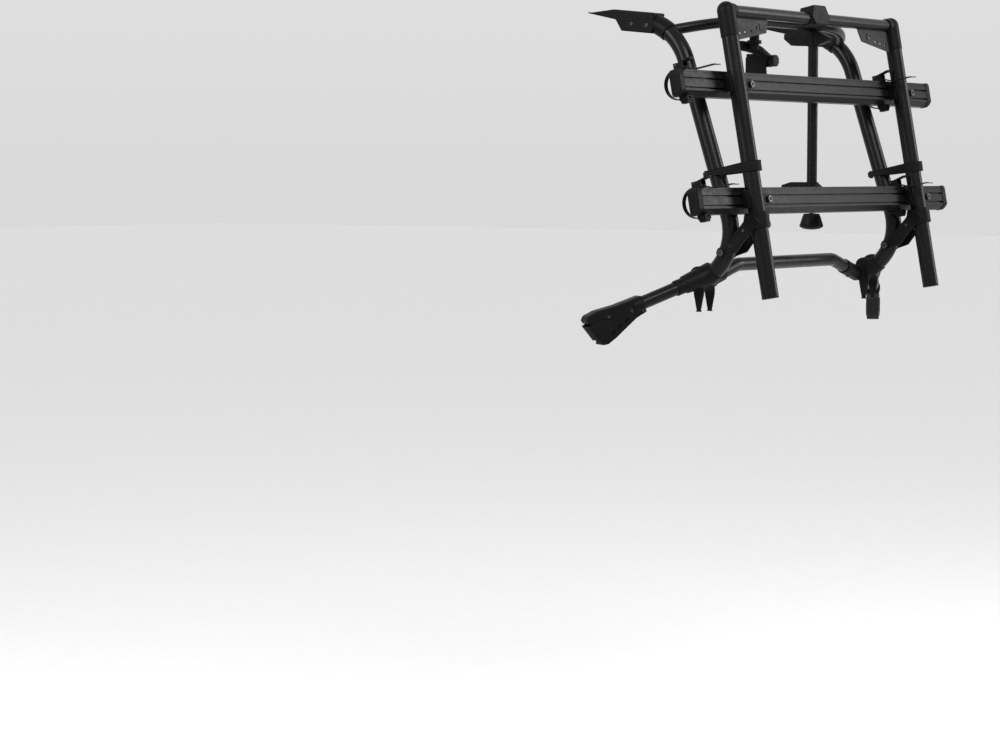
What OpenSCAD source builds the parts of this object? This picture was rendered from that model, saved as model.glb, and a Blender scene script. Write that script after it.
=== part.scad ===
// Rear-door bike rack for a motorhome or van, shown with its platform folded up.
// Origin: on the roof line, midway between the two roof hooks. +X right, +Y forward, +Z up.

/* [Tubes] */
// Distance between the axes of the two side tubes
tube_spacing = 864; // [760:1:960]
// Diameter of the uprights and the platform side tubes
frame_tube_d = 44; // [40:1:48]
// Wall of every tube
tube_wall = 2.5; // [1.5:0.1:4]
// Diameter of the platform crossbar
crossbar_d = 32; // [28:1:38]
// Diameter of the upper cross tube
upper_cross_d = 28; // [25:1:32]
// Diameter of the lower cross tube
lower_cross_d = 36; // [32:1:38]

/* [Base frame] */
// Lean of the uprights, in degrees
upright_lean = 18.5; // [16:0.5:21]
// Straight length of an upright between its bends
upright_straight = 419; // [380:1:460]
// Centreline radius of the upper bend
upper_bend_r = 158; // [140:1:170]
// Centreline radius of the lower bend
lower_bend_r = 135; // [125:1:145]
// Rise of the roof brackets toward the vehicle, in degrees
bracket_rise = 6.2; // [4:0.1:8]
// Drop of the upright's lower end, in degrees
lower_drop = 38.6; // [36:0.2:41]
// Length of a roof bracket cover
cover_length = 136; // [120:1:150]
// Reach of the roof hook past its cover
hook_reach = 92; // [70:1:110]
// Width of the roof hook
hook_w = 46; // [36:1:50]

/* [Platform] */
// Lean of the platform when folded up, in degrees
platform_lean = 10.8; // [9:0.1:12]
// Length of a side tube from its open end to the crossbar axis
side_tube_length = 746; // [700:1:790]
// Distance of the side tubes from the hinge axis
hinge_offset = 108; // [104:1:114]
// Length of a side tube below the hinge axis
tube_tail = 137; // [120:1:150]
// Height of the lower wheel rail above the hinge axis
rail_height = 122; // [120:1:134]
// Distance of the upper rail below the crossbar
rail_drop = 186; // [160:1:190]
// Length of a wheel rail with its end caps
rail_length = 1320; // [1200:1:1380]
// Height of the rail profile
rail_h = 66; // [60:1:70]
// Depth of the rail profile
rail_depth = 28; // [24:1:32]

/* [Foot arms] */
// Diameter of the telescoping foot arms
foot_arm_d = 35; // [32:1:36]
// Yaw of a foot arm away from the rack's centre line, in degrees
foot_yaw = 28.2; // [24:0.2:32]
// Pitch of a foot arm below level, in degrees
foot_pitch = 19.8; // [17:0.2:22]
// Distance from the arm socket to the foot housing
foot_reach = 206; // [190:1:230]
// Length of a foot housing
housing_length = 171; // [160:1:185]
// Thickness of a foot housing
housing_t = 36; // [32:1:40]

/* [Bike arms] */
// Diameter of an arm pole
pole_d = 28; // [26:1:30]
// Length of the long arm's pole
long_pole = 412; // [380:1:430]
// Length of the short arm's pole
short_pole = 60; // [50:1:70]
// Place of the long arm along the upper cross tube
long_arm_x = 112; // [90:1:125]
// Place of the short arm along the upper cross tube
short_arm_x = -190; // [-210:1:-175]
// Length of a clamping jaw from the spindle
jaw_reach = 82; // [70:1:88]

/* [Straps] */
// Distance of the left wheel straps from the rails' ends
left_strap_in = 38; // [38:1:160]
// Distance of the right wheel straps from the right side tube
right_strap_in = 40; // [38:1:130]
// Width of a wheel strap
strap_w = 14; // [10:1:18]
// Thickness of a wheel strap
strap_t = 3; // [2:0.5:4]
// Width of a rubber hold strap
hold_w = 26; // [20:1:30]
// Thickness of a rubber hold strap
hold_t = 3; // [2:0.5:4]

/* [Hidden] */

$fn = 64;
// Overrun of every cut past the face that it opens
cut = 1;
// Gap between pieces that are fixed to each other
seat_gap = 0.15;
// Radial gap of a shaft that turns or slides in its hole
run_gap = 0.06;
// Side gap between pieces that move past each other
side_gap = 0.8;
// Length and height of the step where a bend laps over a straight length of tube
bend_lap = 1.5;
bend_step = 0.05;

black = "#17181a";
moulded = "#202123";
rail_grey = "#3a3b3d";
zinc = "#8f9194";
rubber_black = "#141414";

tube_r = frame_tube_d / 2;
half_spacing = tube_spacing / 2;

// Upright centreline in the Y-Z plane: corners of the two bends, and short straight ends
upright_corner = [-173, -17];
upper_stub = 45;
lower_stub = 25;
bracket_dir = [cos(bracket_rise), sin(bracket_rise)];
upright_dir = [sin(upright_lean), cos(upright_lean)];
lower_dir = [cos(lower_drop), -sin(lower_drop)];
upper_bend = 90 - upright_lean - bracket_rise;
lower_bend = 90 + upright_lean - lower_drop;
upper_tangent = upper_bend_r * tan(upper_bend / 2);
lower_tangent = lower_bend_r * tan(lower_bend / 2);
lower_corner = upright_corner - upright_dir * (upper_tangent + upright_straight + lower_tangent);
upright_top = upright_corner + bracket_dir * (upper_tangent + upper_stub);
upright_end = lower_corner + lower_dir * (lower_tangent + lower_stub);
upper_centre = upright_corner - upright_dir * upper_tangent + [upright_dir[1], -upright_dir[0]] * upper_bend_r;
lower_centre = lower_corner + upright_dir * lower_tangent + [upright_dir[1], -upright_dir[0]] * lower_bend_r;

// Hinge axis: on the upright's centreline, at a share of the lower bend
hinge_share = 0.6;
hinge_angle = 180 - upright_lean + lower_bend * hinge_share;
hinge = lower_centre + [cos(hinge_angle), sin(hinge_angle)] * lower_bend_r;
hinge_bolt_r = 6;
bolt_head_r = 9;
bolt_head_h = 5;
head_gap = 0.4;

// Upper cross tube: two arcs in a plane that falls toward the vehicle
bow_r = 420;
bow_turn = 41.8;
bow_fall = 17;
bow_share = 0.5;
bow_inset = 7;
bow_lift = 11;
bow_angle = 180 - upright_lean - upper_bend * bow_share;
bow_end = upper_centre + [cos(bow_angle), sin(bow_angle)] * (upper_bend_r + bow_lift);
bow_depth = bow_r * (1 - cos(bow_turn));
bow_crown = bow_end - [cos(bow_fall), -sin(bow_fall)] * bow_depth;
bow_corner_x = half_spacing - bow_inset - bow_r * sin(bow_turn) + bow_r * tan(bow_turn / 2);

// Lower cross tube: level in the middle, dropping to the sleeves
low_y = -250;
low_gap = 37;
low_bend_x = 250;
low_bend_r = 90;
low_end_x = half_spacing - 26;
low_end_y = 8;
low_end_z = 46;

// Roof bracket, measured from the upright's upper end
cover_half_w = 26;
cover_back = -91;
cover_nose = 6;
cover_edge = 2;
cover_front = cover_back + cover_length - cover_nose - cover_edge;
cover_rise = 24;
cover_drop = 30;
cover_toe = 7;
hook_root = 29;
hook_level = -2.1;
hook_slope = 6.4;
hook_t = 3;
hook_inside = 24;
hook_step = 0.6;
lip_share = 0.9;
bracket_screw_at = [-22, -70];
bracket_screw_level = -9;
screw_r = 5;
screw_h = 2.4;
screw_sink = 1;
clamp_ring_r = tube_r + 3.5;
clamp_ring_turn = 17;

// Sleeve casting and fork at the lower end of an upright
sleeve_r = 23.5;
sleeve_root_r = 31;
sleeve_length = 75;
collar_r = 20.5;
collar_length = 27;
shell_r = tube_r + 3;
shell_length = 32;
cross_sleeve_r = 21;
cross_sleeve_length = 90;
sleeve_screw_share = 0.6;
core_r = 24;
core_at = [-262, -60];
fork_wall = 6;
fork_r = tube_r + side_gap;
fork_at = 68;
fork_depth = 30;
fork_tip_depth = 12;
fork_toe_depth = 19;
fork_length = 154;
fork_root = 66;
toe_h = 4;
arm_inset = 40;

// Foot frame: +X out along the arm, +Z up across it, +Y away from the vehicle
foot_origin = [-half_spacing, upright_end[0] - 2, upright_end[1] + 9];
foot_arm_r = foot_arm_d / 2;
arm_overlap = 60;
housing_shares = [[0, 0.1287], [0.4444, 0.1404], [0.7602, 0.1754], [0.9357, 0.1579], [0.9942, 0.1053],
  [0.9737, 0.0468], [0.7749, -0.1099], [0.8772, -0.3216], [0.8304, -0.345], [0.7602, -0.3567],
  [0.6082, -0.3158], [0.193, -0.1579], [0, -0.1287]];
pad_shares = [[0.9942, 0.0175], [0.8947, -0.2573], [0.8246, -0.1754], [0.7749, -0.1099], [0.8456, -0.069]];
pad_pin_share = [0.7749, -0.1099];
pad_pin = pad_pin_share * housing_length;
pad_boss_r = 17;
pad_web = 12;
pad_web_r = 12;
pad_pin_r = 4;
housing_screw_share = [0.234, -0.029];
rib_shares = [[0.36, -0.13], [0.49, -0.175], [0.62, -0.222]];
rib_l = 14;
rib_w = 4;
rib_turn = -28;
arm_collar = 4.5;

// Platform frame: origin on the hinge axis, +Z up the side tubes, -Y away from the vehicle
crossbar_h = side_tube_length - tube_tail;
crossbar_r = crossbar_d / 2;
corner_r = tube_r + 1.6;
corner_length = 68;
corner_sleeve = 30;
corner_sleeve_r = crossbar_r + 4;
tube_gap = 2;
end_cap_t = 3;
plug_length = 12;
saddle_x = 12;
saddle_length = 94;
saddle_flat = 62;
saddle_edge = 2;
saddle_top = 33;
saddle_front = 22;
saddle_r = crossbar_r + 3;
gusset_l = 195.5;
gusset_shares = [[0, -0.256], [0, -0.414], [0.189, -0.384], [0.917, -0.261], [0.984, -0.1146], [1, 0], [0.205, 0]];
gusset_t = 3;
gusset_hole_r = 4;
gusset_hole_share = [0.68, -0.2];
gusset_slot_l = 10;
gusset_slot_w = 4;
gusset_slot_shares = [[0.256, -0.29], [0.389, -0.27], [0.522, -0.25]];
gusset_slit_share = [0.762, -0.19];
arm_plate_t = 6;
clamp_r = tube_r + side_gap + arm_plate_t;
clamp_low = 44;
clamp_high = 86;
ear_l = 13;
ear_t = 12;
ear_screw_r = 3;
ear_screw_head = 5;
ear_shares = [0.25, 0.75];
hinge_boss_r = 15;
arm_bolt = [-76, 45];
arm_bolt_r = 4;
arm_shares = [[-0.2, 0.2], [-0.74, 0.62], [-0.8, 0.796], [-1, 0.796], [-1.17, 0.52], [-1.05, 0.4074],
  [-0.8, 0.27], [-0.41, -0.066], [0, -0.12], [0.07, 0.03]];
pocket_r = 6.5;
pocket_length = 58;
pocket_turn = -31;
pocket_depth = 1.5;

// Wheel rails
saddle_gap = 4;
rail_face = -hinge_offset + tube_r + saddle_gap;
rail_wall = 2.5;
rail_floor = 9;
rail_bevel = 13;
slot_shares = [0.17, -0.2];
slot_mouth = 5;
slot_width = 10;
slot_lip = 2;
slot_depth = 6;
end_cap_l = 25;
end_cap_grow = 1.5;
end_cap_bevel = 10;
block_h = 46;
rail_bolt_x = 92;
rail_bolt_r = 9;
rail_bolt_h = 6;
lobe_r = 15;
lobe_sink = 6;
rail_heights = [rail_height, crossbar_h - rail_drop];

// Wheel straps
loop_gap = 3.5;
loop_start = 4;
anchor_w = 26;
anchor_h = 11;
anchor_l = 24;
tooth_w = 2.9;
tooth_h = 3.6;
buckle_w = 24;
buckle_h = 12;
buckle_floor = 2;
cheek_t = 2.6;
strap_slack = 0.45;
lever_l = 44;
lever_t = 4;
lever_root = 2;
lever_back = -1;
lever_lip = 5;
lever_boss_r = 4.9;
lever_pin_r = 2.5;
lever_pin_gap = 0.2;
lever_angle = 13;
tail_length = 76;
tail_angle = 0.5;
strap_x = [left_strap_in - rail_length / 2, half_spacing - right_strap_in];
strap_places = [for (h = rail_heights, x = strap_x) [x, h]];

lever_y = rail_depth - buckle_h / 2;
lever_z = rail_h / 2 + seat_gap + loop_gap + strap_t + buckle_floor + buckle_h / 2;

// Hold straps, between an upright and a side tube
hold_z = -402;
hold_gap = 0.5;
hold_narrow = 12;
hold_tilt = 9;
hold_peg_r = 5.5;
hold_peg_h = 20;
hold_peg_gap = 10;
hold_stem_r = 3.5;
upright_y = lower_corner[0] + (hold_z - lower_corner[1]) * tan(upright_lean);
side_tube_y = hinge[0] - (hinge_offset - (hold_z - hinge[1]) * sin(platform_lean)) / cos(platform_lean);

// Bike arms
hub_r = 20;
hub_l = 34;
neck_r = 18;
neck_l = 55;
pole_r = pole_d / 2;
pole_wall = 2;
pole_start = 26;
wing_l = 85;
wing_shares = [[-0.682, -0.4], [-0.353, -0.235], [0, -0.165], [1, -0.235], [1, -0.4], [0.729, -0.612],
  [0, -0.647], [-0.353, -0.588], [-0.612, -0.494]];
wing_screw_share = [0.612, -0.4];
wing_w = 28;
head_h = 22;
stem_r = 11;
stem_l = 86;
jaw_w = 28;
jaw_t = 16;
jaw_gap = 68;
head_shares = [[-0.341, -0.171], [-0.146, -0.024], [0, 0], [0.732, 0], [1.073, -0.098], [1.122, -0.293],
  [1.049, -0.317], [0.829, -0.195], [-0.293, -0.244]];
jaw_shares = [[-0.293, 0.049], [-0.244, 0.195], [0.341, 0.195], [0.732, 0.098], [0.927, 0.268], [1, 0.244],
  [0.976, 0.049], [0.488, 0], [-0.122, 0]];
spindle_r = 5;
spindle_l = 60;
knob_r = 33;
knob_h = 44;
knob_neck_r = 21;
flute_r = 5;
flutes = 8;
knob_shares = [[0.758, 0.18], [1, 0.76], [0.94, 0.84], [0.7, 0.94], [0.35, 0.99]];
knob_gap = 1;
short_hub_l = 24;
short_hub_gap = 0.5;
short_collar_r = 19;
short_collar_h = 9;
short_bar_r = 13.5;
short_pole_r = 13;
short_foot = 16;
short_knob_gap = 2;
small_knob_r = 15.5;
small_knob_h = 14;
small_flutes = 10;
small_flute_r = 2.4;
long_arm_at = [long_arm_x, bow_crown[0], bow_crown[1]];
short_turn = asin((abs(short_arm_x) - half_spacing + bow_inset + bow_r * sin(bow_turn)) / bow_r);
short_depth = bow_r * (1 - cos(short_turn));
short_arm_at = [short_arm_x, bow_crown[0] + short_depth * cos(bow_fall), bow_crown[1] - short_depth * sin(bow_fall)];

function unit(v) = v / norm(v);
function in_plane(p, x = 0) = [x, p[0], p[1]];

// Places its children in the frame of two unit axes at a point
module frame_at(p, x, y) {
  z = cross(x, y);
  multmatrix([[x[0], y[0], z[0], p[0]], [x[1], y[1], z[1], p[1]], [x[2], y[2], z[2], p[2]], [0, 0, 0, 1]])
    children();
}

// A round rod from one point to another
module rod(a, b, r) {
  d = b - a;
  translate(a) rotate([0, acos(d[2] / norm(d)), atan2(d[1], d[0])]) cylinder(h = norm(d), r = r);
}

// A round bar along straight lines with a true bend at each inner point, hollow where bore > 0.
// A bend laps over the straight ends as a sleeve of hardly larger wall, so no two faces coincide.
module bent_bar(points, bends, r, bore = 0, overrun = 0) {
  last = len(points) - 1;
  dirs = [for (i = [0:last - 1]) unit(points[i + 1] - points[i])];
  turns = [for (i = [1:last - 1]) acos(dirs[i - 1] * dirs[i])];
  trims = [for (i = [0:last]) i == 0 || i == last ? -overrun : bends[i - 1] * tan(turns[i - 1] / 2)];
  for (i = [0:last - 1]) {
    a = points[i] + dirs[i] * trims[i];
    b = points[i + 1] - dirs[i] * trims[i + 1];
    difference() {
      rod(a, b, r);
      if (bore > 0) rod(a - dirs[i] * cut, b + dirs[i] * cut, bore);
    }
  }
  for (i = [1:last - 1]) {
    axis = unit(cross(dirs[i - 1], dirs[i]));
    inward = cross(axis, dirs[i - 1]);
    start = points[i] - dirs[i - 1] * trims[i];
    lap = bend_lap * 180 / (PI * bends[i - 1]);
    frame_at(start + inward * bends[i - 1], -inward, dirs[i - 1]) difference() {
      arc_bar(bends[i - 1], turns[i - 1], lap, r + bend_step);
      if (bore > 0) arc_bar(bends[i - 1], turns[i - 1], 2 * lap, bore - bend_step);
    }
  }
}

module arc_bar(bend, turn, lap, r) {
  rotate([0, 0, -lap]) rotate_extrude(angle = turn + 2 * lap) translate([bend, 0]) circle(r = r);
}

module bent_tube(points, bends, d) {
  bent_bar(points, bends, d / 2, d / 2 - tube_wall);
}

// A bar of outline given in Y and Z, centred across X
module slab(w, outline) {
  rotate([90, 0, 90]) linear_extrude(w, center = true) polygon(outline);
}

// The left side is drawn; the right side is its mirror image
module on_side(s) {
  if (s > 0) mirror([1, 0, 0]) children();
  else children();
}

module on_platform() {
  translate(in_plane(hinge)) rotate([-platform_lean, 0, 0]) children();
}

module on_tube() {
  on_platform() translate([-half_spacing, 0, 0]) children();
}

module on_foot() {
  translate(foot_origin) rotate([0, 0, 180 - foot_yaw]) rotate([0, foot_pitch, 0]) children();
}

module on_housing() {
  on_foot() translate([foot_reach, 0, 0]) rotate([90, 0, 0]) children();
}

module on_bracket() {
  translate(in_plane(upright_top, -half_spacing)) rotate([bracket_rise, 0, 0]) children();
}

// Platform frame of a wheel strap: origin on the rail's outer face, +Y toward the vehicle
module on_strap(i) {
  on_platform() translate([strap_places[i][0], rail_face, strap_places[i][1]]) children();
}

// A cap screw on the plane Z = 0, with its head upward
module cap_screw(r, h, shank_r, shank_l) {
  difference() {
    union() {
      cylinder(h = h, r = r);
      translate([0, 0, -shank_l]) cylinder(h = shank_l + h / 2, r = shank_r);
    }
    translate([0, 0, h / 2]) cylinder(h = h, r = r / 2, $fn = 6);
  }
}

upright_points = [for (p = [upright_top, upright_corner, lower_corner, upright_end]) in_plane(p, -half_spacing)];
upright_bends = [upper_bend_r, lower_bend_r];

module upright_bar(gap) {
  bent_bar(upright_points, upright_bends, tube_r + gap, 0, gap);
}

module upright(s) {
  color(black) on_side(s) difference() {
    bent_tube(upright_points, upright_bends, frame_tube_d);
    translate(in_plane(hinge, -half_spacing)) rotate([0, 90, 0])
      cylinder(h = frame_tube_d + 2 * cut, r = hinge_bolt_r + seat_gap, center = true);
  }
}

bow_points = [
  in_plane(bow_end, -half_spacing + bow_inset), in_plane(bow_crown, -bow_corner_x),
  in_plane(bow_crown, bow_corner_x), in_plane(bow_end, half_spacing - bow_inset)
];

module upper_cross_tube() {
  color(black) difference() {
    bent_tube(bow_points, [bow_r, bow_r], upper_cross_d);
    for (s = [-1, 1]) on_side(s) upright_bar(seat_gap);
  }
}

low_z = hinge[1] - low_gap;
low_points = [
  [-low_end_x, low_y + low_end_y, low_z - low_end_z], [-low_bend_x, low_y, low_z],
  [low_bend_x, low_y, low_z], [low_end_x, low_y + low_end_y, low_z - low_end_z]
];

module lower_cross_tube() {
  color(black) bent_tube(low_points, [low_bend_r, low_bend_r], lower_cross_d);
}

// The roof hook's plate, widened by a gap where it seats in the cover
module hook_plate(gap) {
  on_bracket() translate([0, hook_root, hook_level]) rotate([hook_slope, 0, 0])
    slab(hook_w + 2 * gap, [
      [-hook_inside - gap, hook_step - gap], [-gap, hook_step - gap], [-gap, -gap], [hook_reach, -gap],
      [hook_reach, hook_t + gap], [-hook_inside - gap, hook_t + gap]
    ]);
}

module bracket_cover(s) {
  color(moulded) on_side(s) difference() {
    on_bracket() {
      slab(2 * cover_half_w, [
        [cover_back, -cover_drop + cover_edge], [cover_back, cover_rise - cover_edge],
        [cover_back + cover_edge, cover_rise], [cover_front, cover_rise],
        [cover_front + cover_nose, cover_rise - cover_edge / 2],
        [hook_root + hook_reach * lip_share, hook_level + hook_reach * lip_share * tan(hook_slope) + hook_t],
        [hook_root, hook_level], [cover_toe, -cover_drop], [cover_back + cover_edge, -cover_drop]
      ]);
    }
    upright_bar(seat_gap);
    hook_plate(seat_gap);
    on_bracket() for (y = bracket_screw_at)
      translate([-cover_half_w, y, bracket_screw_level]) rotate([0, -90, 0]) {
        translate([0, 0, -screw_sink - screw_h]) cylinder(h = 2 * screw_h + screw_sink, r = screw_r + seat_gap);
      }
  }
}

module roof_hook(s) {
  color(black) on_side(s) difference() {
    hook_plate(0);
    upright_bar(seat_gap);
  }
}

module bracket_screws() {
  color(zinc) for (s = [-1, 1]) on_side(s) on_bracket() for (y = bracket_screw_at)
    translate([-cover_half_w + screw_sink + screw_h, y, bracket_screw_level]) rotate([0, -90, 0]) difference() {
      cylinder(h = screw_h, r = screw_r);
      translate([0, 0, screw_h / 2]) cylinder(h = screw_h, r = screw_r / 2, $fn = 6);
    }
}

// A ring round the upright's upper bend, just behind the cover
module tube_clamp(s) {
  start = 90 + bracket_rise + asin((-cover_back - upper_stub) / (upper_bend_r + clamp_ring_r));
  color(moulded) on_side(s) difference() {
    translate(in_plane(upper_centre, -half_spacing)) rotate([90, 0, 90]) rotate([0, 0, start])
      rotate_extrude(angle = clamp_ring_turn) translate([upper_bend_r, 0]) circle(r = clamp_ring_r);
    upright_bar(seat_gap);
    bow_cut();
    on_bracket() translate([-cover_length, cover_back - seat_gap, -cover_length])
      cube([2 * cover_length, cover_length, 2 * cover_length]);
  }
}

module bow_cut() {
  bent_bar(bow_points, [bow_r, bow_r], upper_cross_d / 2 + seat_gap);
}

// The space that a side tube takes up as it swings into the fork
module fork_slot() {
  slot_z = hinge[1] - hinge_offset;
  translate([-half_spacing, hinge[0] + tube_tail + cut, slot_z]) {
    rotate([90, 0, 0]) cylinder(h = 2 * tube_tail, r = fork_r);
    translate([-fork_r, -2 * tube_tail, -tube_tail]) cube([2 * fork_r, 2 * tube_tail, tube_tail]);
  }
}

module fork_prongs() {
  translate([-half_spacing, hinge[0] + fork_at, hinge[1]])
    slab(2 * (fork_r + fork_wall), [
      [-fork_depth / 2, -fork_root], [fork_depth / 2, -fork_root], [fork_depth / 2, -hinge_offset],
      [fork_tip_depth / 2, -fork_length + toe_h], [fork_toe_depth / 2, -fork_length],
      [-fork_toe_depth / 2, -fork_length], [-fork_tip_depth / 2, -fork_length + toe_h],
      [-fork_depth / 2, -hinge_offset]
    ]);
}

module sleeve(s) {
  end_dir = unit(low_points[0] - low_points[1]);
  end_at = in_plane(upright_end, -half_spacing);
  color(moulded) on_side(s) difference() {
    union() {
      on_foot() rotate([0, 90, 0]) {
        translate([0, 0, -arm_inset / 4])
          cylinder(h = sleeve_length + arm_inset / 4, r1 = sleeve_root_r, r2 = sleeve_r);
        translate([0, 0, sleeve_length - cut]) cylinder(h = collar_length + cut, r = collar_r);
      }
      rod(end_at - in_plane(lower_dir) * shell_length, end_at, shell_r);
      rod(low_points[0] - end_dir * cross_sleeve_length, low_points[0], cross_sleeve_r);
      translate([-half_spacing, core_at[0], hinge[1] + core_at[1]]) rotate([0, 90, 0])
        cylinder(h = 2 * (fork_r + fork_wall), r = core_r, center = true);
      fork_prongs();
    }
    upright_bar(seat_gap);
    bent_bar(low_points, [low_bend_r, low_bend_r], lower_cross_d / 2 + seat_gap, 0, seat_gap);
    on_foot() rotate([0, 90, 0]) translate([0, 0, arm_inset - cut])
      cylinder(h = sleeve_length + collar_length, r = foot_arm_r + run_gap);
    fork_slot();
  }
}

module sleeve_screws() {
  end_dir = unit(low_points[0] - low_points[1]);
  down = unit([0, 0, -1] + end_dir * end_dir[2]);
  at = low_points[0] - end_dir * cross_sleeve_length * sleeve_screw_share;
  color(zinc) for (s = [-1, 1]) on_side(s)
    frame_at(at + down * (cross_sleeve_r + seat_gap), end_dir, cross(down, end_dir))
      difference() {
        cylinder(h = screw_h, r = screw_r);
        translate([0, 0, screw_h / 2]) cylinder(h = screw_h, r = screw_r / 2, $fn = 6);
      }
}

module foot_arm(s) {
  color(black) on_side(s) on_foot() rotate([0, 90, 0]) translate([0, 0, arm_inset])
    difference() {
      cylinder(h = foot_reach + arm_overlap - arm_inset, r = foot_arm_r);
      translate([0, 0, -cut]) cylinder(h = foot_reach + arm_overlap, r = foot_arm_r - tube_wall);
    }
}

module foot_housing(s) {
  color(moulded) on_side(s) difference() {
    on_housing() difference() {
      union() {
        linear_extrude(housing_t, center = true) polygon(housing_shares * housing_length);
        translate(pad_pin) cylinder(h = housing_t, r = pad_boss_r, center = true);
        rotate([0, 90, 0]) cylinder(h = arm_overlap / 2, r = foot_arm_r + arm_collar);
      }
      translate(pad_pin) cylinder(h = pad_web + 2 * side_gap, r = pad_boss_r + pad_web_r, center = true);
      translate(pad_pin) cylinder(h = housing_t + cut, r = pad_pin_r + seat_gap, center = true);
      for (t = [-1, 1]) translate([0, 0, t * housing_t / 2]) {
        for (p = rib_shares) translate(p * housing_length) rotate([0, 0, rib_turn])
          cube([rib_l, rib_w, rib_w], center = true);
        translate(housing_screw_share * housing_length) cylinder(h = screw_h, r = screw_r, center = true);
      }
    }
    on_foot() rotate([0, 90, 0]) translate([0, 0, foot_reach - cut])
      cylinder(h = arm_overlap + cut + seat_gap, r = foot_arm_r + seat_gap);
  }
}

module foot_pad(s) {
  color(rubber_black) on_side(s) on_housing() difference() {
    union() {
      difference() {
        linear_extrude(housing_t - 2 * side_gap, center = true) polygon(pad_shares * housing_length);
        translate(pad_pin) cylinder(h = housing_t + cut, r = pad_boss_r + side_gap, center = true);
      }
      linear_extrude(pad_web, center = true) polygon(pad_shares * housing_length);
      translate(pad_pin) cylinder(h = pad_web, r = pad_web_r, center = true);
    }
    translate(pad_pin) cylinder(h = housing_t + cut, r = pad_pin_r + run_gap, center = true);
  }
}

module pad_pin_rod(s) {
  color(zinc) on_side(s) on_housing() translate(pad_pin)
    cylinder(h = housing_t - cut, r = pad_pin_r, center = true);
}

module hinge_bolts() {
  reach = clamp_r + head_gap;
  color(zinc) for (s = [-1, 1]) on_side(s) translate(in_plane(hinge, -half_spacing)) rotate([0, 90, 0]) {
    cylinder(h = 2 * reach + bolt_head_h, r = hinge_bolt_r, center = true);
    for (t = [-1, 1]) translate([0, 0, t * (reach + bolt_head_h / 2)]) difference() {
      cylinder(h = bolt_head_h, r = bolt_head_r, center = true);
      translate([0, 0, t * bolt_head_h / 2]) cylinder(h = bolt_head_h, r = bolt_head_r / 2, center = true, $fn = 6);
    }
  }
}

// Places its children in the tilted plane of a hold strap, with +X toward the vehicle from the upright's axis
module on_hold() {
  translate([-half_spacing, upright_y, hold_z]) rotate([-hold_tilt, 0, 0]) rotate([0, 0, 90]) children();
}

hold_span = (upright_y - side_tube_y) / cos(hold_tilt);
hold_r = tube_r + hold_gap + hold_w / 2 * tan(upright_lean - hold_tilt) / 2;
peg_x = tube_r + hold_peg_gap;

// Loop round the side tube and the upright, drawn in to a peg behind the upright
module hold_loop(grow) {
  hull() {
    for (x = [0, -hold_span]) translate([x, 0]) circle(r = hold_r + grow);
    translate([peg_x, 0]) circle(r = hold_peg_r + hold_gap + grow);
  }
}

module hold_strap(s) {
  reach = peg_x + hold_span + 2 * hold_r;
  color(rubber_black) on_side(s) on_hold() difference() {
    linear_extrude(hold_w, center = true) difference() {
      hold_loop(hold_t);
      hold_loop(0);
    }
    for (t = [-1, 1]) translate([peg_x, 0, t * hold_narrow / 2])
      rotate([0, t * atan((hold_w - hold_narrow) / 2 / hold_span), 0])
        translate([-reach, -reach, t < 0 ? -hold_w : 0]) cube([2 * reach, 2 * reach, hold_w]);
  }
}

module hold_strap_knobs() {
  color(rubber_black) for (s = [-1, 1]) on_side(s) difference() {
    on_hold() {
      translate([peg_x, 0, -hold_peg_h / 2]) cylinder(h = hold_peg_h, r = hold_peg_r);
      rotate([0, 90, 0]) cylinder(h = peg_x, r = hold_stem_r);
    }
    upright_bar(seat_gap);
  }
}

module side_tube_bar(gap, low = 0) {
  on_tube() translate([0, -hinge_offset, -tube_tail + low - gap])
    cylinder(h = side_tube_length - crossbar_r - tube_gap - low + 2 * gap, r = tube_r + gap);
}

module side_tube(s) {
  color(black) on_side(s) difference() {
    side_tube_bar(0, end_cap_t + seat_gap);
    on_tube() translate([0, -hinge_offset, -tube_tail]) cylinder(h = side_tube_length, r = tube_r - tube_wall);
  }
}

module tube_end_caps() {
  color(moulded) for (s = [-1, 1]) on_side(s) on_tube() translate([0, -hinge_offset, -tube_tail]) {
    cylinder(h = end_cap_t, r = tube_r);
    cylinder(h = plug_length, r = tube_r - tube_wall - seat_gap);
  }
}

module crossbar_bar(gap) {
  on_platform() translate([0, -hinge_offset, crossbar_h]) rotate([0, 90, 0])
    cylinder(h = tube_spacing, r = crossbar_r + gap, center = true);
}

module crossbar() {
  color(black) difference() {
    crossbar_bar(0);
    on_platform() translate([0, -hinge_offset, crossbar_h]) rotate([0, 90, 0])
      cylinder(h = tube_spacing + cut, r = crossbar_r - tube_wall, center = true);
  }
}

module corner(s) {
  color(moulded) on_side(s) difference() {
    on_tube() translate([0, -hinge_offset, crossbar_h]) {
      translate([0, 0, -corner_length]) cylinder(h = corner_length, r = corner_r);
      sphere(r = corner_r);
      rotate([0, 90, 0]) cylinder(h = corner_sleeve, r = corner_sleeve_r);
    }
    side_tube_bar(seat_gap);
    crossbar_bar(seat_gap);
  }
}

// A bare cover over the middle of the crossbar, raised to a flat top
module crossbar_saddle() {
  color(moulded) difference() {
    on_platform() translate([saddle_x, -hinge_offset, crossbar_h]) {
      rotate([0, 90, 0]) cylinder(h = saddle_length, r = saddle_r, center = true);
      rotate([90, 0, 0]) linear_extrude(2 * saddle_front, center = true) polygon([
        [-saddle_length / 2, 0], [-saddle_flat / 2, saddle_top - saddle_edge],
        [-saddle_flat / 2 + saddle_edge, saddle_top], [saddle_flat / 2 - saddle_edge, saddle_top],
        [saddle_flat / 2, saddle_top - saddle_edge], [saddle_length / 2, 0],
        [saddle_flat / 2, -saddle_r], [-saddle_flat / 2, -saddle_r]
      ]);
    }
    crossbar_bar(seat_gap);
  }
}

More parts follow.
